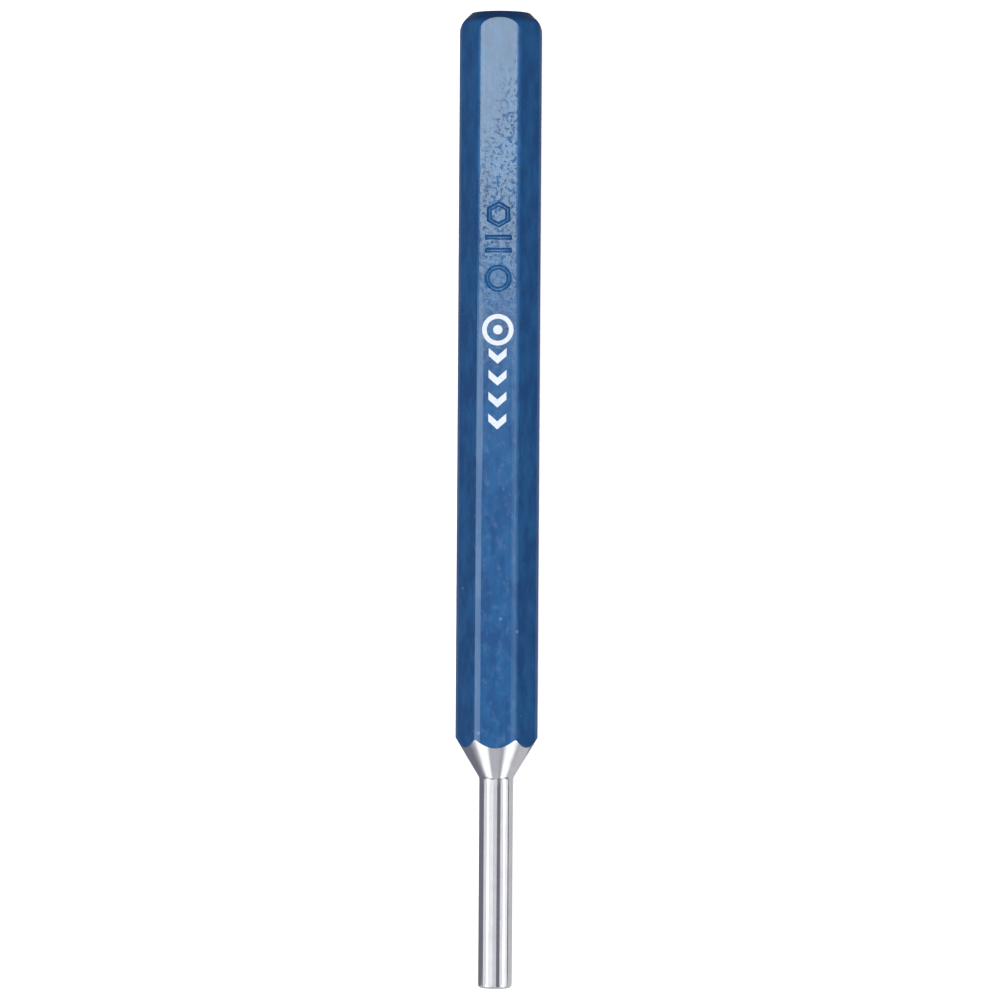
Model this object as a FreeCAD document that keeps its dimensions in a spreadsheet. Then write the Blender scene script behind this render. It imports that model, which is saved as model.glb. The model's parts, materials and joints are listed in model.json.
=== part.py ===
"""Parallel pin punch: a hexagonal steel tool in one piece, its enamel coat and its printed marks.

The tool lies on one flat of its hexagon, on the plane z = 0 with +Z up. Its axis runs along X, with
the pin's tip at -X and the struck head at +X, and the origin is under the middle of its length.
Every piece is drawn from the middle of the pin's tip, and its Placement puts it in this frame.

The pieces are made in the order of the workshop: the head is turned on a hexagonal bar, the bar is
stamped and enamelled, the nose is turned through enamel and steel together, and the marks go on last.
"""

import FreeCAD, Part
import os

import Sketcher

OUTPUT_FOLDER = "parts"

# The driving dimensions, in millimetres and degrees. A place is a distance from the pin's tip.
DIMENSIONS = {
    "steel_length": 137.0,
    "enamel_thickness": 0.08,
    # Hexagonal bar
    "across_flats": 10.0,
    "corner_radius": 0.5,
    "facing_allowance": 1.0,
    # Nose: the parallel pin, its tip and the conical shoulder behind it
    "pin_diameter": 4.7625,
    "pin_length": 29.5,
    "tip_chamfer": 0.3,
    "shoulder_half_angle": 31.0,
    "shoulder_root_radius": 1.0,
    # Head: a shallow crown, a 45 degree chamfer and the blend into the bar's corners
    "crown_height": 0.15,
    "crown_radius": 4.07,
    "rim_radius": 0.25,
    "head_side_radius": 5.72,
    "head_blend_radius": 2.82,
    # Marks stamped into the upper flat
    "stamp_depth": 0.28,
    "stamp_stroke": 0.72,
    "stamp_size": 3.8,
    "stamp_hexagon_place": 108.4,
    "stamp_first_bar_place": 105.2,
    "stamp_second_bar_place": 103.4,
    "stamp_ring_place": 99.5,
    # Marks printed on the upper flat
    "ink_thickness": 0.04,
    "print_ring_size": 4.4,
    "print_ring_stroke": 0.65,
    "print_dot_size": 1.3,
    "print_ring_place": 92.3,
    "chevron_width": 2.5,
    "chevron_sweep": 1.1,
    "chevron_stroke": 1.1,
    "chevron_pitch": 3.05,
    "first_chevron_place": 78.4,
}
CHEVRON_COUNT = 4
HEXAGON_SIDES = 6
# Radius and length by which the turning outlines reach past the bar's corners and ends.
CLEAR_RADIUS = 8.0
CLEAR_LENGTH = 3.0

UP = FreeCAD.Vector(0, 0, 1)
ORIGIN = -1
HORIZONTAL_AXIS = -1
VERTICAL_AXIS = -2
CENTRE = 3

doc = FreeCAD.newDocument("pin_punch")
dimensions = doc.addObject("Spreadsheet::Sheet", "Dimensions")
for row, (alias, number) in enumerate(DIMENSIONS.items(), start=1):
    dimensions.set(f"A{row}", alias)
    dimensions.set(f"B{row}", str(number))
    dimensions.setAlias(f"B{row}", alias)
doc.recompute()


def dim(alias):
    """The expression that reads one driving dimension."""
    return f"Dimensions.{alias}"


# A gauge whose one reading can be bound to any expression.
gauge = doc.addObject("App::FeaturePython", "Gauge")
gauge.addProperty("App::PropertyFloat", "Reading")


def value(expression):
    """What an expression comes to, as a plain number."""
    gauge.setExpression("Reading", str(expression))
    gauge.recompute()
    return gauge.Reading


# Sizes that follow from the driving ones, as expressions.
enamel = dim("enamel_thickness")
apothem = f"({dim('across_flats')} / 2)"
axis_height = f"({apothem} + {enamel})"
tip_place = f"(-({dim('steel_length')} + {enamel}) / 2)"


def place_in_frame(piece):
    """Moves a piece drawn from the middle of the pin's tip into the tool's frame."""
    piece.setExpression("Placement.Base.x", tip_place)
    piece.setExpression("Placement.Base.z", axis_height)


# Sketches


def new_sketch(body, name, role, height="0"):
    """A sketch on one of the body's own origin planes, raised along that plane's normal."""
    plane = next(feature for feature in body.Origin.OriginFeatures if feature.Role == role)
    sketch = body.newObject("Sketcher::SketchObject", name)
    sketch.AttachmentSupport = (plane, [""])
    sketch.MapMode = "FlatFace"
    sketch.setExpression("AttachmentOffset.Base.z", height)
    return sketch


def bind(sketch, kind, *arguments, size):
    """Adds a constraint whose size is an expression."""
    index = sketch.addConstraint(Sketcher.Constraint(kind, *arguments, value(size)))
    sketch.setExpression(f"Constraints[{index}]", size)


def hold_point(sketch, geometry, end, x, y):
    """Holds one point of the geometry at (x, y), each an expression."""
    if x == "0":
        sketch.addConstraint(Sketcher.Constraint("PointOnObject", geometry, end, VERTICAL_AXIS))
    else:
        bind(sketch, "DistanceX", ORIGIN, 1, geometry, end, size=x)
    if y == "0":
        sketch.addConstraint(Sketcher.Constraint("PointOnObject", geometry, end, HORIZONTAL_AXIS))
    else:
        bind(sketch, "DistanceY", ORIGIN, 1, geometry, end, size=y)


def draw_outline(sketch, corners, arcs=None):
    """Draws a closed outline through corners given as (x, y) expressions.

    An edge in arcs is an arc of that radius, which bulges to the left (side 1) or to the right
    (side -1) on the way from its corner to the next one. Every other edge is straight.
    """
    arcs = arcs or {}
    points = [FreeCAD.Vector(value(x), value(y), 0) for x, y in corners]
    edges = []
    for number, start in enumerate(points):
        end = points[(number + 1) % len(points)]
        if number in arcs:
            radius, side = arcs[number]
            chord = end - start
            half = chord.Length / 2
            bulge = value(radius) - (value(radius) ** 2 - half**2) ** 0.5
            left = UP.cross(chord).normalize()
            curve = Part.Arc(start, (start + end) * 0.5 + left * (side * bulge), end)
        else:
            curve = Part.LineSegment(start, end)
        index = sketch.addGeometry(curve, False)
        # A sketch keeps every arc counter-clockwise, so its first end may be the outline's far one.
        first_end = 1 if sketch.getPoint(index, 1).distanceToPoint(start) < 1e-6 else 2
        edges.append((index, first_end, 3 - first_end))
    for number, (index, _, last_end) in enumerate(edges):
        next_index, next_first_end, _ = edges[(number + 1) % len(edges)]
        sketch.addConstraint(
            Sketcher.Constraint("Coincident", index, last_end, next_index, next_first_end)
        )
    for (index, first_end, _), (x, y) in zip(edges, corners):
        hold_point(sketch, index, first_end, x, y)
    for number, (radius, _) in arcs.items():
        bind(sketch, "Radius", edges[number][0], size=radius)


def draw_polygon(sketch, place, radius, sides, turn):
    """Draws a regular polygon about a point of the axis, its first corner turned from +X."""
    angles = [turn + 360 / sides * corner for corner in range(sides)]
    draw_outline(
        sketch,
        [(f"{place} + {radius} * cos({angle})", f"{radius} * sin({angle})") for angle in angles],
    )


def draw_bar(sketch, place, width, length):
    """Draws a rectangle across the axis: width along X and length along Y."""
    low, high = f"{place} - {width} / 2", f"{place} + {width} / 2"
    left, right = f"-{length} / 2", f"{length} / 2"
    draw_outline(sketch, [(low, left), (high, left), (high, right), (low, right)])


def draw_circle(sketch, place, diameter):
    """Draws a circle about a point of the axis."""
    centre = FreeCAD.Vector(value(place), 0, 0)
    index = sketch.addGeometry(Part.Circle(centre, UP, value(diameter) / 2), False)
    hold_point(sketch, index, CENTRE, place, "0")
    bind(sketch, "Diameter", index, size=diameter)


# Features


def pad(body, sketch, name, length):
    """Raises a sketch along its normal."""
    feature = body.newObject("PartDesign::Pad", name)
    feature.Profile = sketch
    feature.setExpression("Length", length)
    doc.recompute()
    return feature


def remove(body, kind, sketch, name, **settings):
    """Cuts a sketch out of the body with a Pocket or a Groove, and makes sure that it did."""
    volume_before = body.Shape.Volume
    feature = body.newObject(kind, name)
    feature.Profile = sketch
    for setting, choice in settings.items():
        setattr(feature, setting, choice)
    if kind == "PartDesign::Pocket":
        feature.setExpression("Length", dim("stamp_depth"))
    doc.recompute()
    if body.Shape.Volume > volume_before - 1e-3:
        raise RuntimeError(f"{name} cuts nothing")


def round_edges(body, base, name, radius, chosen):
    """Fillets the edges of the base feature that the test picks."""
    names = [f"Edge{number}" for number, edge in enumerate(base.Shape.Edges, start=1) if chosen(edge)]
    feature = body.newObject("PartDesign::Fillet", name)
    feature.Base = (base, names)
    feature.setExpression("Radius", radius)
    doc.recompute()


def runs_along_axis(edge):
    """Whether an edge is one of the bar's six long ones."""
    ends = [vertex.Point for vertex in edge.Vertexes]
    return len(ends) == 2 and abs((ends[1] - ends[0]).normalize().x) > 0.999


# The bar, bare and enamelled


def draw_head_turnings(sketch, skin):
    """Draws what the lathe takes off the head of a bar grown outwards by skin."""
    length = f"({dim('steel_length')} + {skin})"
    # Where the crown and the 45 degree chamfer would meet, moved out along both of them.
    rim = f"({dim('crown_radius')} + {skin} * tan(22.5))"
    rim_place = f"({length} - {dim('crown_height')})"
    crown_sphere = f"({rim} ^ 2 + {dim('crown_height')} ^ 2) / (2 * {dim('crown_height')})"
    blend = f"({dim('head_blend_radius')} + {skin})"
    side = f"({dim('head_side_radius')} + {skin})"
    blend_start = f"({side} - {blend} * (1 - cos(45)))"
    blend_start_place = f"({rim_place} - ({blend_start} - {rim}))"
    blend_end_place = f"({blend_start_place} - {blend} * sin(45))"
    far_place = f"({length} + {CLEAR_LENGTH})"
    clear = str(CLEAR_RADIUS)
    draw_outline(
        sketch,
        [
            (length, "0"),
            (rim_place, rim),
            (blend_start_place, blend_start),
            (blend_end_place, side),
            (blend_end_place, clear),
            (far_place, clear),
            (far_place, "0"),
        ],
        arcs={0: (crown_sphere, -1), 2: (blend, -1)},
    )
    return value(rim)


def draw_stamps(sketch, skin):
    """Draws the four stamped marks: a hexagon, two bars and a ring, narrowed by the skin's walls."""
    size, stroke = dim("stamp_size"), dim("stamp_stroke")
    outer, inner = f"({size} - 2 * {skin})", f"({size} - 2 * {stroke} + 2 * {skin})"
    hexagon = dim("stamp_hexagon_place")
    draw_polygon(sketch, hexagon, f"{outer} / 2", HEXAGON_SIDES, turn=0)
    draw_polygon(sketch, hexagon, f"{inner} / 2", HEXAGON_SIDES, turn=0)
    for place in (dim("stamp_first_bar_place"), dim("stamp_second_bar_place")):
        draw_bar(sketch, place, f"({stroke} - 2 * {skin})", outer)
    ring = dim("stamp_ring_place")
    draw_circle(sketch, ring, outer)
    draw_circle(sketch, ring, inner)


def make_bar(name, skin):
    """A headed and stamped hexagonal bar, with every surface moved outwards by skin."""
    body = doc.addObject("PartDesign::Body", name)
    start = f"-{dim('facing_allowance')}"
    section = new_sketch(body, f"{name}_section", "YZ_Plane", start)
    corner_distance = f"(({apothem} + {skin}) / cos(30))"
    draw_polygon(section, "0", corner_distance, HEXAGON_SIDES, turn=0)
    sawn_length = f"{dim('steel_length')} + 2 * {dim('facing_allowance')}"
    stock = pad(body, section, f"{name}_stock", sawn_length)
    corners = f"{dim('corner_radius')} + {skin}"
    round_edges(body, stock, f"{name}_corners", corners, runs_along_axis)

    turnings = new_sketch(body, f"{name}_head_turnings", "XY_Plane")
    rim = draw_head_turnings(turnings, skin)
    axis = {"ReferenceAxis": (turnings, ["H_Axis"]), "Angle": 360}
    remove(body, "PartDesign::Groove", turnings, f"{name}_head", **axis)

    def is_rim(edge):
        if edge.Degenerated or not isinstance(edge.Curve, Part.Circle):
            return False
        return abs(edge.Curve.Radius - rim) < 1e-6

    round_edges(body, body.Tip, f"{name}_rim", f"{dim('rim_radius')} + {skin}", is_rim)

    stamps = new_sketch(body, f"{name}_stamps", "XY_Plane", f"{apothem} + {skin}")
    draw_stamps(stamps, skin)
    remove(body, "PartDesign::Pocket", stamps, f"{name}_stamped")
    return body


# The nose, turned through the enamel and the steel


def make_nose_turnings():
    """What the lathe takes off the bar around the pin, its tip and the shoulder."""
    body = doc.addObject("PartDesign::Body", "nose_turnings")
    sketch = new_sketch(body, "nose_outline", "XY_Plane")
    pin = f"({dim('pin_diameter')} / 2)"
    chamfer = dim("tip_chamfer")
    slope = dim("shoulder_half_angle")
    root = dim("shoulder_root_radius")
    # The root's arc touches the pin and the shoulder this far from where they would meet.
    root_reach = f"({root} * tan({slope} / 2))"
    root_start = f"{dim('pin_length')} - {root_reach}"
    root_end = (
        f"{dim('pin_length')} + {root_reach} * cos({slope})",
        f"{pin} + {root_reach} * sin({slope})",
    )
    clear = str(CLEAR_RADIUS)
    shoulder_end = f"{dim('pin_length')} + ({clear} - {pin}) / tan({slope})"
    before_tip = f"-{CLEAR_LENGTH}"
    draw_outline(
        sketch,
        [
            (before_tip, "0"),
            ("0", "0"),
            ("0", f"{pin} - {chamfer}"),
            (chamfer, pin),
            (root_start, pin),
            root_end,
            (shoulder_end, clear),
            (before_tip, clear),
        ],
        arcs={4: (root, -1)},
    )
    turned = body.newObject("PartDesign::Revolution", "nose_turned")
    turned.Profile = sketch
    turned.ReferenceAxis = (sketch, ["H_Axis"])
    turned.Angle = 360
    doc.recompute()
    return body


def cut(label, base, tool):
    """The base piece without the tool's space."""
    feature = doc.addObject("Part::Cut", label)
    feature.Base = base
    feature.Tool = tool
    doc.recompute()
    return feature


# The printed marks


def print_mark(label, draw, *arguments):
    """One flat mark of ink on the enamelled upper flat."""
    body = doc.addObject("PartDesign::Body", label)
    body.Label = label
    sketch = new_sketch(body, f"{label}_outline", "XY_Plane", f"{apothem} + {enamel}")
    draw(sketch, *arguments)
    pad(body, sketch, f"{label}_ink", dim("ink_thickness"))
    place_in_frame(body)
    return body


def draw_ring(sketch):
    """Draws the ring's two circles."""
    size = dim("print_ring_size")
    draw_circle(sketch, dim("print_ring_place"), size)
    draw_circle(sketch, dim("print_ring_place"), f"{size} - 2 * {dim('print_ring_stroke')}")


def draw_chevron(sketch, number):
    """Draws one chevron that points to the tip, counted from the one nearest to it."""
    point = f"{dim('first_chevron_place')} + {number} * {dim('chevron_pitch')}"
    sweep, stroke = dim("chevron_sweep"), dim("chevron_stroke")
    half = f"{dim('chevron_width')} / 2"
    draw_outline(
        sketch,
        [
            (point, "0"),
            (f"{point} + {sweep}", f"-{half}"),
            (f"{point} + {sweep} + {stroke}", f"-{half}"),
            (f"{point} + {stroke}", "0"),
            (f"{point} + {sweep} + {stroke}", half),
            (f"{point} + {sweep}", half),
        ],
    )


bare_bar = make_bar("bare_bar", "0")
enamelled_bar = make_bar("enamelled_bar", enamel)
whole_coat = cut("whole_coat", enamelled_bar, bare_bar)
nose_turnings = make_nose_turnings()

punch_steel = cut("punch_steel", bare_bar, nose_turnings)
enamel_coat = cut("enamel_coat", whole_coat, nose_turnings)
for turned_piece in (punch_steel, enamel_coat):
    place_in_frame(turned_piece)

sub_parts = [punch_steel, enamel_coat]
sub_parts.append(print_mark("print_ring", draw_ring))
sub_parts.append(
    print_mark("print_dot", draw_circle, dim("print_ring_place"), dim("print_dot_size"))
)
for number in range(CHEVRON_COUNT):
    sub_parts.append(print_mark(f"print_chevron_{number + 1}", draw_chevron, number))
doc.removeObject(gauge.Name)
doc.recompute()

for item in doc.Objects:
    if "Invalid" in item.State or "Error" in item.State:
        raise RuntimeError(f"{item.Label} did not recompute: {item.State}")
for piece in sub_parts:
    shape = piece.Shape
    if shape.isNull() or not shape.isValid() or len(shape.Solids) != 1:
        raise RuntimeError(f"{piece.Label} is not one valid solid")

os.makedirs(OUTPUT_FOLDER, exist_ok=True)
for piece in sub_parts:
    piece.Shape.exportStep(os.path.join(OUTPUT_FOLDER, f"{piece.Label}.step"))
    box = piece.Shape.BoundBox
    print(
        f"{piece.Label}: {piece.Shape.Volume:.3f} mm3, "
        f"x {box.XMin:.3f} to {box.XMax:.3f}, y {box.YMin:.3f} to {box.YMax:.3f}, "
        f"z {box.ZMin:.3f} to {box.ZMax:.3f}"
    )
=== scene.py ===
# %% [markdown]
# # A parallel pin punch
#
# A pin punch drives roll pins and dowels out of their holes. This one is a single bar of hexagonal
# tool steel. Its nose is turned down to a bright parallel pin behind a cone, its head is chamfered so
# that the hammer can't split the corners, and the shank between them wears blue enamel with a few
# stamped and printed marks.
#
# The solid design comes first, as a fixed frame. Everything made here takes its place and size from it.

# %% Load the frame
import json
import math

import bmesh
import bpy
from mathutils import Matrix, Vector


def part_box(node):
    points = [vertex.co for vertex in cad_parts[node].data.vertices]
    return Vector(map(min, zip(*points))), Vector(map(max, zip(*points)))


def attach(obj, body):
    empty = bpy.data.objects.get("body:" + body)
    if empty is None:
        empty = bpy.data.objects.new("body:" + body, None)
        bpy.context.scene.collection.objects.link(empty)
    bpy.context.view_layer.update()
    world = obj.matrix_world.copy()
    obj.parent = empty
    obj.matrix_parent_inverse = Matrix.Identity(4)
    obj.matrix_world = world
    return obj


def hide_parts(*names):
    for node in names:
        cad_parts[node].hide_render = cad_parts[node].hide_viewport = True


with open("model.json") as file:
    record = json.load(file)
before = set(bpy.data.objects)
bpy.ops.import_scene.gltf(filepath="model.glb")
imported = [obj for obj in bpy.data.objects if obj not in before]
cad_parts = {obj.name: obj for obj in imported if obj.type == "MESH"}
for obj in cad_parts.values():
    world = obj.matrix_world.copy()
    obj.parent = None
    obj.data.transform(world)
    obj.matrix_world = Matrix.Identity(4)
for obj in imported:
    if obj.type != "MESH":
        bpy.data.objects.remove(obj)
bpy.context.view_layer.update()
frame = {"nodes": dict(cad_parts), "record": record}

# %% [markdown]
# ## Sizes
#
# Blender works in metres, and a tool like this is drawn in millimetres, so `MM` turns one into the
# other. The boxes of the steel and of its enamel already hold most sizes: the enamel's thickness is
# the step between them, and the distance across the flats is the steel's height. The few sizes that a
# box can't tell are the radii and angles of the lathe work, which are named here.

# %% Take the sizes
MM = 0.001
steel_low, steel_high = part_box("punch_steel")
coat_low, coat_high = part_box("enamel_coat")
mounts = {mount["name"]: mount for mount in frame["record"]["mounts"]}

axis_height = (coat_low.z + coat_high.z) / 2
apothem = (steel_high.z - steel_low.z) / 2
coat = steel_low.z - coat_low.z
tip_x, steel_crown_x = steel_low.x, steel_high.x
pin_radius = mounts["pin"]["dims"]["r_mm"] * MM

CORNER_RADIUS = 0.5 * MM
TIP_CHAMFER = 0.3 * MM
SHOULDER_ANGLE = math.radians(31)
PIN_LENGTH = 29.5 * MM
ROOT_RADIUS = 1.0 * MM
print(f"Across flats {2 * apothem / MM:.2f} mm, enamel {coat / MM:.3f} mm, pin {2 * pin_radius / MM:.3f} mm")

# %% [markdown]
# ## The camera
#
# A tool catalogue shows a punch from straight above, standing on its pin in the picture. The camera
# looks down at the marked flat with the head at the top of the picture, about 0.7 m away with a long
# lens, which keeps the sides of the hexagon nearly parallel. It stands two degrees round to one side, so
# that one side face shows a little more than the other, and it is rolled by a third of a degree.

# %% Set up the camera
VIEW_DISTANCE = 0.7
VIEW_SIDE_TILT = math.radians(2.0)
VIEW_ROLL = math.radians(0.37)
VIEW_SIDE_SHIFT = 0.28 * MM
SENSOR_WIDTH = 36.0
FIELD_WIDTH = 140.55 * MM
NEAREST_SEEN = 0.01

away = Vector((0, -math.sin(VIEW_SIDE_TILT), math.cos(VIEW_SIDE_TILT)))
picture_right = Vector((1, 0, 0)).cross(away)
roll = Matrix.Rotation(VIEW_ROLL, 3, away)
right, up = roll @ picture_right, roll @ Vector((1, 0, 0))
middle = Vector((0, 0, axis_height))

camera = bpy.data.objects.new("camera", bpy.data.cameras.new("camera"))
camera.matrix_world = Matrix.LocRotScale(
    middle + away * VIEW_DISTANCE + right * VIEW_SIDE_SHIFT,
    Matrix((right, up, away)).transposed(),
    None,
)
camera.data.sensor_width = SENSOR_WIDTH
camera.data.lens = SENSOR_WIDTH * VIEW_DISTANCE / FIELD_WIDTH
camera.data.clip_start = NEAREST_SEEN
bpy.context.scene.collection.objects.link(camera)
bpy.context.scene.camera = camera
print(f"A {camera.data.lens:.0f} mm lens at {VIEW_DISTANCE} m")

# %% [markdown]
# ## The studio
#
# A pale floor and soft light. Polished steel shows what is around it, so the light is a set of large
# softboxes and not a single lamp: the pin's bright and dark bands are their reflections. Each softbox
# is placed by two angles from straight up, one towards the right of the picture and one towards the
# head, and its power follows from the brightness that a reflection of it should have.
#
# A mirror that is tilted by some angle shows what lies at twice that angle. So the marked flat shows the
# head box, the round pin shows every box between the two strips at its sides, and the cone, which
# also leans towards the tip, shows the corner boxes and those in front. The fill box is the exception:
# it lights the colours evenly and is kept out of every reflection. Where no box shows, the bluish
# grey of the sky does.

# %% Light the studio
SKY = (0.205, 0.21, 0.25, 1)


def softbox(name, sideways, endways, distance, size, brightness, turn=0, reflected=True):
    """An area light that faces the tool, with angles in degrees and its size along and across it."""
    light = bpy.data.lights.new(name, "AREA")
    light.shape = "RECTANGLE"
    light.size, light.size_y = size
    light.energy = brightness * math.pi * size[0] * size[1]
    box = bpy.data.objects.new(name, light)
    side, end = math.radians(sideways), math.radians(endways)
    direction = Vector((math.tan(end), -math.sin(side), math.cos(side))).normalized()
    along = (Vector((1, 0, 0)) - direction * direction.x).normalized()
    across = direction.cross(along)
    facing = Matrix((along, across, direction)).transposed()
    turned = Matrix.Rotation(math.radians(turn), 3, direction) @ facing
    box.matrix_world = Matrix.LocRotScale(middle + direction * distance, turned, None)
    box.visible_camera = False
    box.visible_glossy = reflected
    bpy.context.scene.collection.objects.link(box)


# Each line: towards the right, towards the head, distance, (along, across), brightness
softbox("fill_box", 4, 0, 1.3, (1.2, 1.2), 1.6, reflected=False)
# Seen in the flats
softbox("ceiling_box", -2.5, 0, 0.90, (1.3, 0.36), 0.63)
softbox("head_box", -2, 15, 0.75, (0.275, 0.20), 11.5)
softbox("head_end_box", 0, 42, 1.2, (0.7, 1.0), 0.5)
# Seen in the pin, from its left side to its right
softbox("left_low_box", -70, -10, 0.70, (0.24, 0.46), 0.75)
softbox("left_strip", -54, -3, 0.60, (0.34, 0.09), 3.0)
softbox("ceiling_left_box", -32, -8, 0.90, (0.45, 0.56), 0.95)
softbox("right_fill_box", 46, -9, 0.85, (0.30, 0.40), 0.8)
softbox("right_strip", 61, -3, 0.60, (0.34, 0.09), 2.5)
softbox("right_low_box", 75, -10, 0.65, (0.24, 0.34), 0.95)
# Seen in the curve between the pin and the cone, and in the cone
softbox("left_corner_box", -57.5, -26.5, 0.60, (0.26, 0.26), 1.1)
softbox("right_corner_box", 57.5, -26.5, 0.60, (0.26, 0.26), 1.1)
softbox("left_front_box", -57.8, -56.8, 0.60, (0.44, 0.20), 1.5, turn=-68)
softbox("right_front_box", 61, -56, 0.60, (0.42, 0.20), 1.5, turn=66)
softbox("front_box", 0, -55, 0.60, (0.36, 0.26), 0.42)
softbox("low_front_box", 0, -84, 0.60, (0.13, 0.40), 0.8)

world = bpy.data.worlds.new("studio")
world.use_nodes = True
world.node_tree.nodes["Background"].inputs["Color"].default_value = SKY
bpy.context.scene.world = world
bpy.context.scene.view_settings.view_transform = "Standard"

# %% [markdown]
# ## Rings
#
# The steel and its enamel are one kind of shape: a hexagonal bar whose ends were turned on a lathe. It
# could be cut with Booleans, a turned solid out of a bar, but the cuts leave slivers along the scalloped
# edges, where the light would catch. So both are drawn as a chain of rings along the axis instead.
#
# A ring is a small function here. Given a direction from the axis, it tells how far along the tool and
# how far from the axis the skin lies. The lathe's rings are the same all round. The bar's rings follow
# its six flats and rounded corners.

# %% Describe a ring
HALF_SIDE = math.radians(30)


def bar_reach(azimuth, skin):
    """How far the bar, grown outwards by skin, reaches from the axis in that direction."""
    off_flat = abs((azimuth + HALF_SIDE) % (2 * HALF_SIDE) - HALF_SIDE)
    off_corner = HALF_SIDE - off_flat
    rounding = CORNER_RADIUS + skin
    rounding_centre = (apothem - CORNER_RADIUS) / math.cos(HALF_SIDE)
    flat_ends_at = math.atan2(rounding_centre * math.sin(HALF_SIDE), apothem + skin)
    if off_flat < flat_ends_at:
        return (apothem + skin) / math.cos(off_flat)
    across = rounding_centre * math.sin(off_corner)
    return rounding_centre * math.cos(off_corner) + math.sqrt(rounding**2 - across**2)


def turned_ring(x, radius):
    """A ring of the lathe: one place and one radius all round."""
    return lambda azimuth: (x, radius)


def bar_ring(x, skin):
    """A ring of the bar, square across it."""
    return lambda azimuth: (x, bar_reach(azimuth, skin))


print(f"The bar reaches {bar_reach(0, 0) / MM:.2f} to {bar_reach(HALF_SIDE, 0) / MM:.2f} mm from the axis")

# %% [markdown]
# The first ring starts as a six-sided circle with bevelled corners and subdivided sides. Each following
# ring is extruded from the one before, and every corner of it keeps its direction from the axis and
# takes a new place along and away from it. Where the bar meets the cone, that place follows the
# hexagon outwards and the cone backwards at once, and the scallops come out exactly.

# %% Draw a chain of rings
CORNER_STEPS = 8
SIDE_CUTS = 27


def place_ring(corners, ring):
    """Moves a ring's corners to where the ring has them, each in its own direction from the axis."""
    for corner in corners:
        azimuth = math.atan2(corner.co.y, corner.co.z - axis_height)
        x, radius = ring(azimuth)
        corner.co = (x, radius * math.sin(azimuth), axis_height + radius * math.cos(azimuth))


def chain_of_rings(rings):
    """A closed bmesh whose skin runs through the rings from first to last."""
    bm = bmesh.new()
    turn = Matrix.Translation(middle) @ Matrix.Rotation(math.radians(90), 4, "Y")
    corner_distance = apothem / math.cos(HALF_SIDE)
    made = bmesh.ops.create_circle(bm, cap_ends=True, segments=6, radius=corner_distance, matrix=turn)
    rounding_reach = CORNER_RADIUS * math.tan(HALF_SIDE)
    bmesh.ops.bevel(
        bm, geom=made["verts"], offset=rounding_reach, affect="VERTICES",
        segments=CORNER_STEPS, profile=0.5, material=-1,
    )
    sides = [edge for edge in bm.edges if edge.calc_length() > 3 * rounding_reach]
    bmesh.ops.subdivide_edges(bm, edges=sides, cuts=SIDE_CUTS)
    place_ring(bm.verts, rings[0])
    edge_loop = list(bm.edges)
    for ring in rings[1:]:
        made = bmesh.ops.extrude_edge_only(bm, edges=edge_loop)["geom"]
        place_ring([item for item in made if isinstance(item, bmesh.types.BMVert)], ring)
        edge_loop = [item for item in made if isinstance(item, bmesh.types.BMEdge)]
    bmesh.ops.edgeloop_fill(bm, edges=edge_loop)
    bmesh.ops.recalc_face_normals(bm, faces=bm.faces)
    return bm


print(f"{6 * (CORNER_STEPS + SIDE_CUTS + 1)} corners in a ring")

# %% [markdown]
# ## The lathe's outlines
#
# The nose and the head each have an outline from the axis outwards. A straight stretch needs its two
# ends only, and an arc is stepped along its angle. Turned steel keeps crisp edges, but a perfectly
# sharp one never catches light, so the pin's tip chamfer has a tiny rounding at each end. The long
# stretches are cut into a few rings all the same, which keeps the quads from growing too slender.

# %% Outline the nose
def arc(centre_x, centre_radius, radius, first, last, steps):
    """Rings along an arc of the outline, from one angle to another in degrees from straight outwards."""
    angles = [math.radians(first + (last - first) * step / steps) for step in range(steps + 1)]
    return [
        turned_ring(centre_x + radius * math.sin(angle), centre_radius + radius * math.cos(angle))
        for angle in angles
    ]


def shoulder_x(radius):
    """Where the cone has that radius."""
    return tip_x + PIN_LENGTH + (radius - pin_radius) / math.tan(SHOULDER_ANGLE)


TIP_ROUNDING = 0.06 * MM
TIP_ROUNDING_STEPS = 3
TIP_FACE_RINGS = 4
PIN_RINGS = 12
ROOT_STEPS = 8
CONE_RINGS = 6
CONE_STOPS_BELOW_FLATS = 0.1 * MM


def nose_rings():
    """From the middle of the tip, over the pin, to just before the bar's flats."""
    face = pin_radius - TIP_CHAMFER
    eighth = math.tan(math.radians(22.5)) * TIP_ROUNDING
    rings = [turned_ring(tip_x, face * (step + 1) / (TIP_FACE_RINGS + 1)) for step in range(TIP_FACE_RINGS)]
    rings += arc(tip_x + TIP_ROUNDING, face - eighth, TIP_ROUNDING, -90, -45, TIP_ROUNDING_STEPS)
    chamfer_end = tip_x + TIP_CHAMFER + eighth
    rings += arc(chamfer_end, pin_radius - TIP_ROUNDING, TIP_ROUNDING, -45, 0, TIP_ROUNDING_STEPS)
    root_x = tip_x + PIN_LENGTH - ROOT_RADIUS * math.tan(SHOULDER_ANGLE / 2)
    pin_start_x = tip_x + 2 * TIP_CHAMFER
    rings += [
        turned_ring(pin_start_x + (root_x - pin_start_x) * step / PIN_RINGS, pin_radius)
        for step in range(PIN_RINGS)
    ]
    root_end = 180 - math.degrees(SHOULDER_ANGLE)
    rings += arc(root_x, pin_radius + ROOT_RADIUS, ROOT_RADIUS, 180, root_end, ROOT_STEPS)
    root_top = pin_radius + ROOT_RADIUS * (1 - math.cos(SHOULDER_ANGLE))
    last_full = apothem - CONE_STOPS_BELOW_FLATS
    for step in range(1, CONE_RINGS + 1):
        radius = root_top + (last_full - root_top) * step / CONE_RINGS
        rings.append(turned_ring(shoulder_x(radius), radius))
    return rings


print(f"{len(nose_rings())} rings on the nose")

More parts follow.
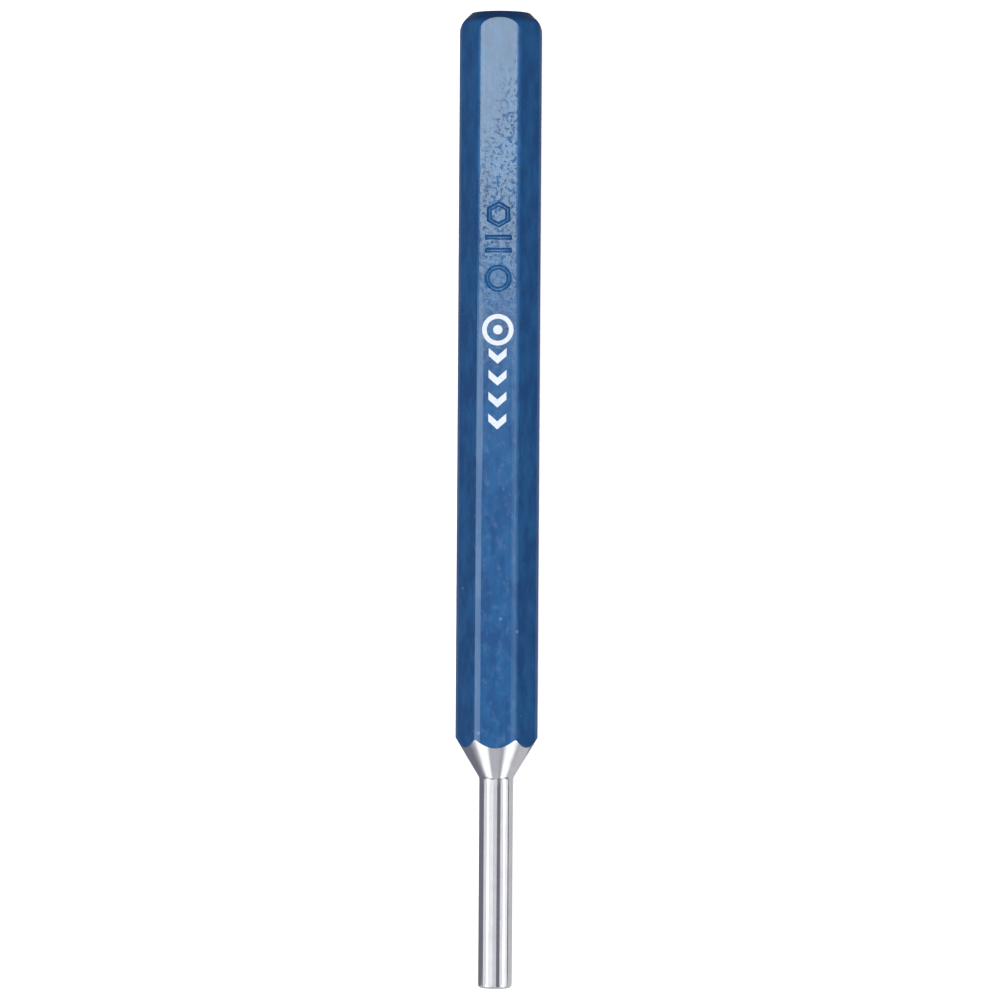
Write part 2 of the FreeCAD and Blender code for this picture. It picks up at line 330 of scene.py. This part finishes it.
# %% [markdown]
# The head begins where a wide blend cuts the bar and leaves six more scallops. The first rings lie on
# that blend and grow from the bar's own section to a full circle. A straight chamfer, a rounded rim and
# a low crown follow.

# %% Outline the head
CROWN_RADIUS = 4.07 * MM
CROWN_HEIGHT = 0.15 * MM
RIM_ROUNDING = 0.25 * MM
HEAD_SIDE_RADIUS = 5.72 * MM
HEAD_BLEND = 2.82 * MM
HEAD_CHAMFER = math.radians(45)
CORNER_RINGS = 6
PAST_CORNERS = 0.05 * MM
CHAMFER_SHARES = (0.3, 0.6, 0.9)
RIM_STEPS = 5
CROWN_SHARES = (0.9, 0.75, 0.6, 0.45, 0.3, 0.15, 0.05)


def head_rings(skin):
    """From the bar's scalloped end, over the chamfer and the rim, to the middle of the crown."""
    rim = CROWN_RADIUS + skin * math.tan(HEAD_CHAMFER / 2)
    rim_x = steel_crown_x + skin - CROWN_HEIGHT
    blend, side = HEAD_BLEND + skin, HEAD_SIDE_RADIUS + skin
    blend_start = side - blend * (1 - math.cos(HEAD_CHAMFER))
    centre_x = rim_x - (blend_start - rim) - blend * math.sin(HEAD_CHAMFER)
    centre_radius = side - blend

    def blend_x(radius):
        return centre_x + math.sqrt(blend**2 - (radius - centre_radius) ** 2)

    def corner_ring(share):
        """A ring on the blend, from the bar's own end (0) to the first full circle (1)."""

        def place(azimuth):
            reach = bar_reach(azimuth, skin)
            radius = reach + share * (blend_start + PAST_CORNERS - reach)
            return blend_x(radius), radius

        return place

    rings = [corner_ring(step / CORNER_RINGS) for step in range(CORNER_RINGS + 1)]
    rounding = RIM_ROUNDING + skin
    eighth = rounding * math.tan(HEAD_CHAMFER / 2)
    crown_drop = CROWN_HEIGHT * (1 - ((rim - eighth) / rim) ** 2)
    rings.append(turned_ring(rim_x - (blend_start - rim), blend_start))
    rim_start = rim + eighth * math.cos(HEAD_CHAMFER)
    rings += [
        turned_ring(rim_x - (radius - rim), radius)
        for radius in (blend_start - (blend_start - rim_start) * share for share in CHAMFER_SHARES)
    ]
    rings += arc(rim_x + crown_drop - rounding, rim - eighth, rounding, 45, 88, RIM_STEPS)
    for share in CROWN_SHARES:
        radius = (rim - eighth) * share
        rings.append(turned_ring(rim_x + CROWN_HEIGHT * (1 - (radius / rim) ** 2), radius))
    return rings, centre_x


print(f"{len(head_rings(0)[0])} rings on the head")

# %% [markdown]
# The bar lies between the two. Its rings are square across it and a few millimetres apart, and each end
# has a scalloped ring. One more ring follows the head's scallops from close by, so that each flat is
# shaded flat to its very end.

# %% Join the outlines along the bar
SHANK_STEP = 6 * MM
SCALLOP_CLEARANCE = 0.2 * MM
SUPPORT_GAP = 0.04 * MM


def shoulder_ring(skin):
    """The scalloped ring where the bar, grown by skin, meets the cone."""

    def place(azimuth):
        reach = bar_reach(azimuth, skin)
        return shoulder_x(reach), reach

    return place


def shank_rings(skin):
    """The bar's rings between the scallops of the shoulder and the head."""
    start = shoulder_x(bar_reach(HALF_SIDE, skin)) + SCALLOP_CLEARANCE
    end = head_rings(skin)[1] - SCALLOP_CLEARANCE
    count = round((end - start) / SHANK_STEP)
    return [bar_ring(start + (end - start) * step / count, skin) for step in range(count + 1)]


def bar_rings(skin):
    """All rings of the bar from its scallops at the shoulder to the crown."""
    head = head_rings(skin)[0]

    def last_flat_ring(azimuth):
        """Follows the head's scallops just before them, so that the flats are shaded flat to the end."""
        x, radius = head[0](azimuth)
        return x - SUPPORT_GAP, radius

    return [shoulder_ring(skin), *shank_rings(skin), last_flat_ring, *head]


print(f"{len(bar_rings(0))} rings on the bar and its head")

# %% [markdown]
# ## Steel and enamel
#
# The steel runs through the nose's rings and then the bar's. The enamel is a film, so it needs an
# inside: its chain starts at the crown of the steel, runs down the steel's own surface to the scallops,
# steps out to the painted surface and comes back up to the painted crown. The step is the cut edge that
# the lathe left when it turned the cone through enamel and steel together.
#
# Faces are shaded smooth, and an edge stays sharp where the surface turns by more than `SHARP`. The
# steps of every rounding are smaller than that, and the shoulder's edge is larger.

# %% Make the steel and the enamel
SHARP = math.radians(24)


def shade(bm):
    """Smooth faces, with sharp edges between those that meet at a real edge."""
    for face in bm.faces:
        face.smooth = True
    for edge in bm.edges:
        edge.smooth = edge.calc_face_angle(0) < SHARP


def as_piece(bm, name):
    """Turns a bmesh into an object, shaded."""
    shade(bm)
    mesh = bpy.data.meshes.new(name)
    bm.to_mesh(mesh)
    bm.free()
    return bpy.data.objects.new(name, mesh)


def place_in_scene(piece):
    """Links an object into the scene and returns it."""
    bpy.context.scene.collection.objects.link(piece)
    return piece


film_rings = bar_rings(0)[::-1] + bar_rings(coat)
steel = place_in_scene(as_piece(chain_of_rings(nose_rings() + bar_rings(0)), "punch_body"))
enamel = place_in_scene(as_piece(chain_of_rings(film_rings), "enamel_film"))
for piece in (steel, enamel):
    print(f"{piece.name}: {len(piece.data.polygons)} faces")

# %% [markdown]
# ## Stamped marks
#
# The size marks were struck into the steel with stamps before it was enamelled, so the enamel lines
# their walls and floors. A hexagon, two bars and a ring stand for them. Each is a flat shape extruded
# into a cutter: a polygon with an inset hole, or a plain strip. The cutter goes straight down, or it
# narrows in steps, for which its lower face is inset and lowered again.

# %% Draw the stamps
STAMP_DEPTH = 0.28 * MM
STAMP_SIZE = 3.8 * MM
STAMP_STROKE = 0.72 * MM
STAMP_HEXAGON_PLACE = 108.4 * MM
STAMP_BAR_PLACES = (105.2 * MM, 103.4 * MM)
STAMP_RING_PLACE = 99.5 * MM
RING_SEGMENTS = 64
flat_z = coat_high.z
above_flat = flat_z + 1 * MM


def stamp_frame(bm, segments, place):
    """A flat polygon frame about a point on the axis, one corner towards the head."""
    middle_of_it = Matrix.Translation((tip_x + place, 0, 0)) @ Matrix.Rotation(math.radians(90), 4, "Z")
    made = bmesh.ops.create_circle(
        bm, cap_ends=True, segments=segments, radius=STAMP_SIZE / 2, matrix=middle_of_it
    )
    hole = made["verts"][0].link_faces[:]
    bmesh.ops.inset_region(
        bm, faces=hole, thickness=STAMP_STROKE, use_even_offset=True, use_boundary=True
    )
    bmesh.ops.delete(bm, geom=hole, context="FACES")


def stamp_bar(bm, place):
    """A flat strip across the axis."""
    shape = Matrix.Translation((tip_x + place, 0, 0)) @ Matrix.Diagonal((STAMP_STROKE, STAMP_SIZE, 1, 1))
    bmesh.ops.create_grid(bm, x_segments=1, y_segments=1, size=0.5, matrix=shape)


def stamp_cutter(name, top, bottom, narrowing):
    """The marks as closed solids, straight down to the bottom and then narrowed by steps of (in, down)."""
    bm = bmesh.new()
    stamp_frame(bm, 6, STAMP_HEXAGON_PLACE)
    stamp_frame(bm, RING_SEGMENTS, STAMP_RING_PLACE)
    for place in STAMP_BAR_PLACES:
        stamp_bar(bm, place)
    bmesh.ops.translate(bm, verts=bm.verts, vec=(0, 0, top))
    made = bmesh.ops.extrude_face_region(bm, geom=bm.faces[:])["geom"]
    lower = [item for item in made if isinstance(item, bmesh.types.BMFace)]
    for inwards, down in ((0, top - bottom), *narrowing):
        if inwards:
            bmesh.ops.inset_region(bm, faces=lower, thickness=inwards, use_even_offset=True)
        corners = {corner for face in lower for corner in face.verts}
        bmesh.ops.translate(bm, verts=list(corners), vec=(0, 0, -down))
    bmesh.ops.recalc_face_normals(bm, faces=bm.faces)
    return as_piece(bm, name)


print(f"{2 + len(STAMP_BAR_PLACES)} marks with strokes of {STAMP_STROKE / MM:.2f} mm")

# %% [markdown]
# Booleans suit marks in the middle of a flat, because their edges are meant to be sharp. One takes the
# cutters out of the steel, and another adds them to the enamel as if it had filled the marks to the
# brim.

# %% Strike the marks
def combine(piece, operation, tool):
    """Applies a Boolean to the piece and removes the tool."""
    place_in_scene(tool)
    modifier = piece.modifiers.new("cut", "BOOLEAN")
    modifier.operation, modifier.object, modifier.solver = operation, tool, "EXACT"
    seen = piece.evaluated_get(bpy.context.evaluated_depsgraph_get())
    mesh = bpy.data.meshes.new_from_object(seen)
    piece.modifiers.clear()
    piece.data = mesh
    bpy.data.objects.remove(tool)


steel_floor = flat_z - coat - STAMP_DEPTH
combine(steel, "DIFFERENCE", stamp_cutter("steel_stamps", above_flat, steel_floor, []))
combine(enamel, "UNION", stamp_cutter("filling", flat_z - coat / 2, steel_floor, []))
print(f"Marks {STAMP_DEPTH / MM:.2f} mm deep in the steel")

# %% [markdown]
# Enamel flows before it cures, so it rounds the mouth of each mark and pools in its corners. The voids'
# cutter has that shape: a rounding as large as the enamel's thickness, a wall with a little draught and
# a hollow down to the floor. Bevelling the mouths after the cut would be shorter, but a bevel next to the
# flats' long faces leaves gaps. The rounding starts a hair under the flat, because a Boolean is unsure
# about faces that lie in one plane.
#
# The Weighted Normal modifier lets each large flat face decide the shading along its edges. Without it
# the narrow roundings beside a flat would bend the reflection in it.

# %% Hollow the enamel in the marks
DRAUGHT = 0.01 * MM
POOL_WIDTH = 0.25 * MM
POOL_DEPTH = 0.19 * MM
HAIR = 0.004 * MM
QUARTER_STEPS = 4
quarter = [math.radians(90) * step / QUARTER_STEPS for step in range(QUARTER_STEPS + 1)]
quarter_steps = [
    (math.sin(end) - math.sin(start), math.cos(start) - math.cos(end))
    for start, end in zip(quarter, quarter[1:])
]

mouth = [(coat * long_way, coat * short_way) for long_way, short_way in quarter_steps]
wall = [(DRAUGHT, STAMP_DEPTH - coat - POOL_DEPTH)]
pool = [(POOL_WIDTH * short_way, POOL_DEPTH * long_way) for long_way, short_way in quarter_steps]
combine(enamel, "DIFFERENCE", stamp_cutter("voids", above_flat, flat_z - HAIR, mouth + wall + pool))

for piece in (steel, enamel):
    bm = bmesh.new()
    bm.from_mesh(piece.data)
    shade(bm)
    bm.to_mesh(piece.data)
    bm.free()
    weighted = piece.modifiers.new("flat_shading", "WEIGHTED_NORMAL")
    weighted.keep_sharp = True
    print(f"{piece.name}: {len(piece.data.polygons)} faces with the marks")

# %% [markdown]
# ## Shader maths
#
# A finish is a graph of nodes. Written one node at a time it is hard to read, so a small class wraps a
# node's output and Python's own operators add the Math nodes. Any other node comes from one method,
# which takes the node's type, its settings and the values or links of its sockets. Python finds the
# reflected form of `>` in `<` by itself, so these two need no other.

# %% Wrap the shader sockets
class Signal:
    """A number or vector that varies over a surface."""

    def __init__(self, finish, socket):
        self.finish, self.socket = finish, socket

    def _math(self, operation, *values):
        sockets = dict(enumerate(values))
        return self.finish.node("ShaderNodeMath", {"operation": operation}, sockets)

    def __add__(self, other):
        return self._math("ADD", self, other)

    def __radd__(self, other):
        return self._math("ADD", other, self)

    def __mul__(self, other):
        return self._math("MULTIPLY", self, other)

    def __rmul__(self, other):
        return self._math("MULTIPLY", other, self)

    def __gt__(self, other):
        return self._math("GREATER_THAN", self, other)

    def __lt__(self, other):
        return self._math("LESS_THAN", self, other)


class Finish:
    """A material with one Principled shader, and the means to feed it."""

    def __init__(self, name, **constants):
        self.material = bpy.data.materials.new(name)
        self.material.use_nodes = True
        self.tree = self.material.node_tree
        self.shader = self.tree.nodes["Principled BSDF"]
        for socket, value in constants.items():
            self.shader.inputs[socket.replace("_", " ")].default_value = value

    def node(self, kind, settings=None, inputs=None, output=0):
        """Adds a node, sets it up, feeds its inputs and returns one of its outputs as a Signal."""
        node = self.tree.nodes.new(kind)
        for setting, value in (settings or {}).items():
            setattr(node, setting, value)
        for socket, value in (inputs or {}).items():
            self.feed(node.inputs[socket], value)
        return Signal(self, node.outputs[output])

    def feed(self, socket, value):
        """Links a Signal to a socket, or sets the socket to a plain value."""
        if isinstance(value, Signal):
            self.tree.links.new(value.socket, socket)
        else:
            socket.default_value = value

    def drive(self, socket, signal):
        """Lets a Signal vary one of the shader's sockets."""
        self.feed(self.shader.inputs[socket], signal)

    def place(self, stretch=(1, 1, 1)):
        """The place on the piece in metres, stretched along each axis."""
        at = self.node("ShaderNodeTexCoord", output="Object")
        return self.node("ShaderNodeVectorMath", {"operation": "MULTIPLY"}, {0: at, 1: stretch})

    def axes(self):
        """The place along the tool, across it and up, in metres, as three Signals."""
        split = self.node("ShaderNodeSeparateXYZ", inputs={0: self.place()}).socket.node
        return [Signal(self, output) for output in split.outputs]

    def noise(self, size, detail=2.0, stretch=(1, 1, 1), roughness=0.5):
        """Soft noise between 0 and 1 whose blotches are about that size in metres."""
        values = {
            "Vector": self.place(stretch), "Scale": 1 / size, "Detail": detail, "Roughness": roughness,
        }
        return self.node("ShaderNodeTexNoise", {}, values, "Fac")

    def between(self, signal, low, high, from_low=0.0, from_high=1.0):
        """Carries a signal from one range to another with a smooth start and end."""
        values = {
            "Value": signal, "From Min": from_low, "From Max": from_high, "To Min": low, "To Max": high,
        }
        return self.node("ShaderNodeMapRange", {"interpolation_type": "SMOOTHSTEP"}, values)

    def mix(self, share, first, second):
        """Mixes two colours."""
        values = {"Factor": share, 6: first, 7: second}
        return self.node("ShaderNodeMix", {"data_type": "RGBA"}, values, 2)

    def bump(self, height, depth):
        """Adds relief: a height between 0 and 1 that stands for a depth in metres."""
        return self.node("ShaderNodeBump", {}, {"Height": height, "Distance": depth, "Strength": 1.0})

# %% [markdown]
# ## Turned and ground steel
#
# The nose is bare steel. A grinding wheel leaves fine lines round the pin, and the lathe leaves slightly
# coarser ones round the cone, so the relief changes quickly along the axis and hardly at all round it.
# The lines blur reflections along the tool and leave the bands across it crisp. Handling leaves faint
# blotches, which are a little darker and duller.

# %% Make the steel's finish
BRIGHT_STEEL = (0.72, 0.72, 0.73, 1)
STAINED_STEEL = (0.66, 0.66, 0.68, 1)
GROUND_ROUGHNESS = (0.09, 0.13)
TURNED_ROUGHNESS = 0.12
LINE_WIDTH = 0.12 * MM
LINE_DEPTH = 0.0012 * MM
LINE_STRETCH = (1, 0.02, 0.02)
STAIN_SIZE = 2.5 * MM
CONE_FINISH_BLEND = 1.5 * MM


def make_steel():
    """Bright steel with fine lines round the axis and faint stains."""
    finish = Finish("ground_steel", Metallic=1.0)
    along, _, _ = finish.axes()
    cone_x = tip_x + PIN_LENGTH
    turned = finish.between(along, 0, TURNED_ROUGHNESS, cone_x - CONE_FINISH_BLEND, cone_x)
    lines = finish.noise(LINE_WIDTH, detail=3.0, stretch=LINE_STRETCH)
    stains = finish.noise(STAIN_SIZE, detail=3.0)
    finish.drive("Roughness", finish.between(stains, *GROUND_ROUGHNESS, 0.3, 0.7) + turned)
    stained = finish.between(stains, 0, 1, 0.25, 0.75)
    finish.drive("Base Color", finish.mix(stained, BRIGHT_STEEL, STAINED_STEEL))
    finish.drive("Normal", finish.bump(lines, LINE_DEPTH))
    return finish.material


steel_finish = make_steel()
print("Steel:", len(steel_finish.node_tree.nodes), "nodes")

# %% [markdown]
# ## Enamel
#
# Sprayed and baked enamel is glossy but never quite flat: it dries with a skin like an orange's, which
# shows wherever the edge of a reflection crosses it. It is also never quite even: it is mottled, it is
# rubbed paler here and there, and a few specks are chipped. Beside the edges of the marked flat it is
# paled as a painted highlight, the outermost corners are paled as a painted rim reflection, and the head
# end is darkened as painted shade. Each of these is a mask between 0 and 1 that mixes one more colour
# into the film's own mottled blue.
#
# Wear and painted light depend on where a place is on the tool, so the masks start from three lengths:
# along the tool, across it and up. A fourth, `reach`, is the distance from the axis, which grows from the
# middle of each flat to its corners.

# %% Name the enamel's colours and where they lie
BLUE = (0.010, 0.088, 0.240, 1)
DEEP_BLUE = (0.005, 0.056, 0.180, 1)
# A pale blue, both for rubbed wear and for the painted highlight along the marked flat's edges.
RUB_AND_HIGHLIGHT_BLUE = (0.13, 0.21, 0.345, 1)
BARE = (0.28, 0.40, 0.55, 1)
# A navy for painted shade at the head end.
HEAD_SHADE_NAVY = (0.002, 0.016, 0.060, 1)
# A grey blue for a painted rim reflection on the outermost corners.
RIM_REFLECTION_BLUE = (0.10, 0.135, 0.24, 1)

# Distances from the axis between which a mask rises, across the edge of a flat
MARGIN_REACH = (5.48 * MM, 5.54 * MM)
MARGIN_WIDENING = 0.05 * MM
CORNER_REACH = (5.61 * MM, 5.67 * MM)
OUTER_CORNERS = (5.38 * MM, 5.52 * MM)
# Heights between which the marked flat starts
MARKED_FLAT = (10.05 * MM, 10.10 * MM)
WORN_HEIGHT = (9.5 * MM, 10.0 * MM)
# Stretches along the tool over which a mask rises or falls
HEAD_END = (coat_high.x - 1.9 * MM, coat_high.x - 0.9 * MM)
WIDE_MARGIN_STARTS = (-5 * MM, 12 * MM)
MARGIN_FADES = (18 * MM, 34 * MM)
RUBS_FADE = (6 * MM, 16 * MM)
SCUFFS_START = (18 * MM, 30 * MM)
SCUFFS_END = (42 * MM, 64 * MM)
CHIPS_END = 5 * MM
# Widths of the blotches, and how far apart the chips are
POOL_SIZE = 2.2 * MM
STREAK_SIZE = 0.45 * MM
RUB_SIZE = 1.0 * MM
PATCH_SIZE = 6 * MM
CHIP_SPACING = 2.6 * MM
CHIP_PATCH_SIZE = 5 * MM
SCUFF_SIZE = 0.45 * MM
HANDLING_SIZE = 1.6 * MM
PEEL_SIZE = 0.7 * MM
PEEL_DEPTH = 0.010 * MM
print(f"Corners reach {bar_reach(HALF_SIDE, coat) / MM:.2f} mm from the axis")

# %% [markdown]
# The colour starts as a mottle of two blues, and each mask then mixes in one more colour. Their order
# matters: the chips come last, because the film is gone there, whatever its colour was.

# %% Colour the enamel
def colour_enamel(finish, along, across, height, reach):
    """Mottled blue and pale rubs, then painted highlights on the margins, a painted rim reflection on the
    outer corners, painted shade at the head end, and the chips.
    """
    pooling = finish.noise(POOL_SIZE, detail=4.0, stretch=(0.5, 1, 1), roughness=0.6)
    streaks = finish.noise(STREAK_SIZE, detail=3.0, stretch=(0.1, 1, 1), roughness=0.6)
    colour = finish.mix(finish.between(pooling, 0, 1, 0.35, 0.65), BLUE, DEEP_BLUE)
    colour = finish.mix(finish.between(streaks, 0, 0.5, 0.45, 0.7), colour, DEEP_BLUE)

    rubs = finish.noise(RUB_SIZE, detail=5.0, stretch=(0.7, 1, 1), roughness=0.65)
    worn = finish.between(along, 1, 0.3, *RUBS_FADE) * finish.between(height, 0.3, 1, *WORN_HEIGHT)
    colour = finish.mix(finish.between(rubs, 0, 0.22, 0.50, 0.70) * worn, colour, RUB_AND_HIGHLIGHT_BLUE)

    # Painted highlight: the edges of the marked flat are paled, more on the left than on the right, fading
    # towards the head.
    patchy = finish.between(finish.noise(PATCH_SIZE, stretch=(0.4, 1, 1)), 0.6, 1.0, 0.35, 0.65)
    widening = finish.between(along, 0, MARGIN_WIDENING, *WIDE_MARGIN_STARTS)
    margin = finish.between(reach + widening, 0, 1, *MARGIN_REACH)
    marked_side = finish.between(height, 0, 1, *MARKED_FLAT)
    highlight_side = finish.between(across, 0.03, 0.92, -5 * MM, 5 * MM)
    fading = finish.between(along, 1, 0.1, *MARGIN_FADES)
    colour = finish.mix(margin * marked_side * highlight_side * patchy * fading, colour, RUB_AND_HIGHLIGHT_BLUE)

    # Painted rim reflection: the outermost corners, at the silhouette, are paled towards grey blue.
    off_centre = finish.node("ShaderNodeMath", {"operation": "ABSOLUTE"}, {0: across})
    colour = finish.mix(finish.between(off_centre, 0, 0.7, *OUTER_CORNERS) * patchy, colour, RIM_REFLECTION_BLUE)
    # Painted shade: the head end and its chamfer are darkened towards navy.
    colour = finish.mix(finish.between(along, 0, 0.8, *HEAD_END), colour, HEAD_SHADE_NAVY)

    chip_cells = {"Vector": finish.place(), "Scale": 1 / CHIP_SPACING}
    chip_centres = finish.node("ShaderNodeTexVoronoi", {"feature": "F1"}, chip_cells, "Distance")
    few = (finish.noise(CHIP_PATCH_SIZE, detail=1.0) > 0.53) * (along < CHIPS_END)
    chips = finish.between(chip_centres, 0.45, 0, 0.05, 0.15) * few
    finish.drive("Base Color", finish.mix(chips, colour, BARE))

# %% [markdown]
# Handling and scuffs change the gloss only: they are seen where the film reflects a light and vanish
# where it doesn't, just as on the real tool. The film reflects a little more green than red or blue,
# which the specular tint gives.

# %% Make the enamel's finish
def gloss_enamel(finish, along, across, reach):
    """Gloss that handling and scuffs have dulled, over orange peel."""
    handling = finish.between(finish.noise(HANDLING_SIZE, detail=4.0), 0.09, 0.14, 0.3, 0.75)
    scuffs = finish.between(finish.noise(SCUFF_SIZE, detail=3.0, roughness=0.6), 0, 0.38, 0.47, 0.65)
    slanted = along + across * 3
    scuffed = finish.between(along, 0, 0.85, *SCUFFS_START) * finish.between(slanted, 1, 0, *SCUFFS_END)
    dull_corner = finish.between(reach, 0, 1, *CORNER_REACH) * finish.between(across, 0.22, 0.05, -MM, MM)
    finish.drive("Roughness", handling + scuffs * (scuffed + 0.15) + dull_corner)
    finish.drive("Normal", finish.bump(finish.noise(PEEL_SIZE), PEEL_DEPTH))


def make_enamel():
    """Blue enamel over the shank and the head."""
    finish = Finish("blue_enamel", IOR=1.36, Specular_Tint=(0.89, 1.0, 0.91, 1))
    along, across, height = finish.axes()
    in_section = {0: finish.place((0, 1, 1)), 1: (0, 0, axis_height)}
    from_axis = finish.node("ShaderNodeVectorMath", {"operation": "SUBTRACT"}, in_section)
    reach = finish.node("ShaderNodeVectorMath", {"operation": "LENGTH"}, {0: from_axis}, "Value")
    colour_enamel(finish, along, across, height, reach)
    gloss_enamel(finish, along, across, reach)
    return finish.material


enamel_finish = make_enamel()
print("Enamel:", len(enamel_finish.node_tree.nodes), "nodes")

# %% [markdown]
# ## Ink
#
# The marks are pad-printed in white. The film is thin, so it takes the enamel's orange peel, and it is
# satin where the enamel is glossy. Where the pad pressed harder the blue shows through a little.

# %% Make the ink's finish
FULL_INK = (0.62, 0.66, 0.72, 1)
THIN_INK = (0.54, 0.60, 0.68, 1)
INK_GRAIN = 0.35 * MM
INK_RELIEF = 0.003 * MM


def make_ink():
    """White printing ink."""
    finish = Finish("white_ink", Roughness=0.45)
    wear = finish.noise(INK_GRAIN, detail=3.0)
    finish.drive("Base Color", finish.mix(finish.between(wear, 0, 1, 0.3, 0.7), FULL_INK, THIN_INK))
    finish.drive("Normal", finish.bump(wear, INK_RELIEF))
    return finish.material


ink_finish = make_ink()
print("Ink:", len(ink_finish.node_tree.nodes), "nodes")

# %% [markdown]
# ## Dress the pieces
#
# The two meshes stand for their solids in the frame, and the printed marks are the frame's own solids in
# a better finish. The two meshes ride on the one body that a rigid tool has.

# %% Give every piece its finish, and the two meshes their body
for piece, node, finish, slot in (
    (steel, "punch_steel", steel_finish, "steel"),
    (enamel, "enamel_coat", enamel_finish, "enamel"),
):
    piece.data.materials.clear()
    piece.data.materials.append(finish)
    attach(piece, "root")
    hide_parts(node)
for name, piece in frame["nodes"].items():
    if name.startswith("print_"):
        piece.material_slots[0].material = ink_finish
        print("Printed:", name)

# %% [markdown]
# ## The floor
#
# A large pale sheet, level with the flat that the tool lies on. White paper under a bright tool throws
# light back into it from below and turns its sides pale. In a real studio the tool would be lifted on
# glass, far above its background. Here the sheet is kept out of reflections and out of bounced light,
# and it glows a little so that the tool's shadow stays soft.
#
# Two grey cards lie beside and before the pin, where only reflections see them. They give the pin and
# the cone something paler than the sky to show at their sides.

# %% Lay the floor and the cards
FLOOR_SIZE = 6.0
FLOOR_GLOW = 0.45
CARD_LIFT = 0.05 * MM


def sheet(name, centre, size, finish):
    """A flat sheet, its centre at (along, across, up) and its size (along, across)."""
    bm = bmesh.new()
    shape = Matrix.Translation(centre) @ Matrix.Diagonal((*size, 1, 1))
    bmesh.ops.create_grid(bm, x_segments=1, y_segments=1, size=0.5, matrix=shape)
    piece = place_in_scene(as_piece(bm, name))
    piece.data.materials.append(finish.material)
    return piece


pale_paper = Finish(
    "pale_paper", Roughness=0.9, Base_Color=(0.9, 0.9, 0.9, 1), IOR=1.2,
    Emission_Color=(1, 1, 1, 1), Emission_Strength=FLOOR_GLOW,
)
floor = sheet("floor", (0, 0, 0), (FLOOR_SIZE, FLOOR_SIZE), pale_paper)
floor.visible_glossy = floor.visible_diffuse = False

grey_paper = Finish("grey_paper", Roughness=0.9, Base_Color=(0.5, 0.5, 0.5, 1))
for name, (x, y), size in (
    ("side_card", (tip_x + 14 * MM, -19 * MM), (34 * MM, 34 * MM)),
    ("front_card", (tip_x - 50 * MM, 0), (94 * MM, 120 * MM)),
):
    card = sheet(name, (x, y, CARD_LIFT), size, grey_paper)
    card.visible_camera = card.visible_shadow = card.visible_diffuse = False
    print(f"{name}: {size[0] / MM:.0f} by {size[1] / MM:.0f} mm")
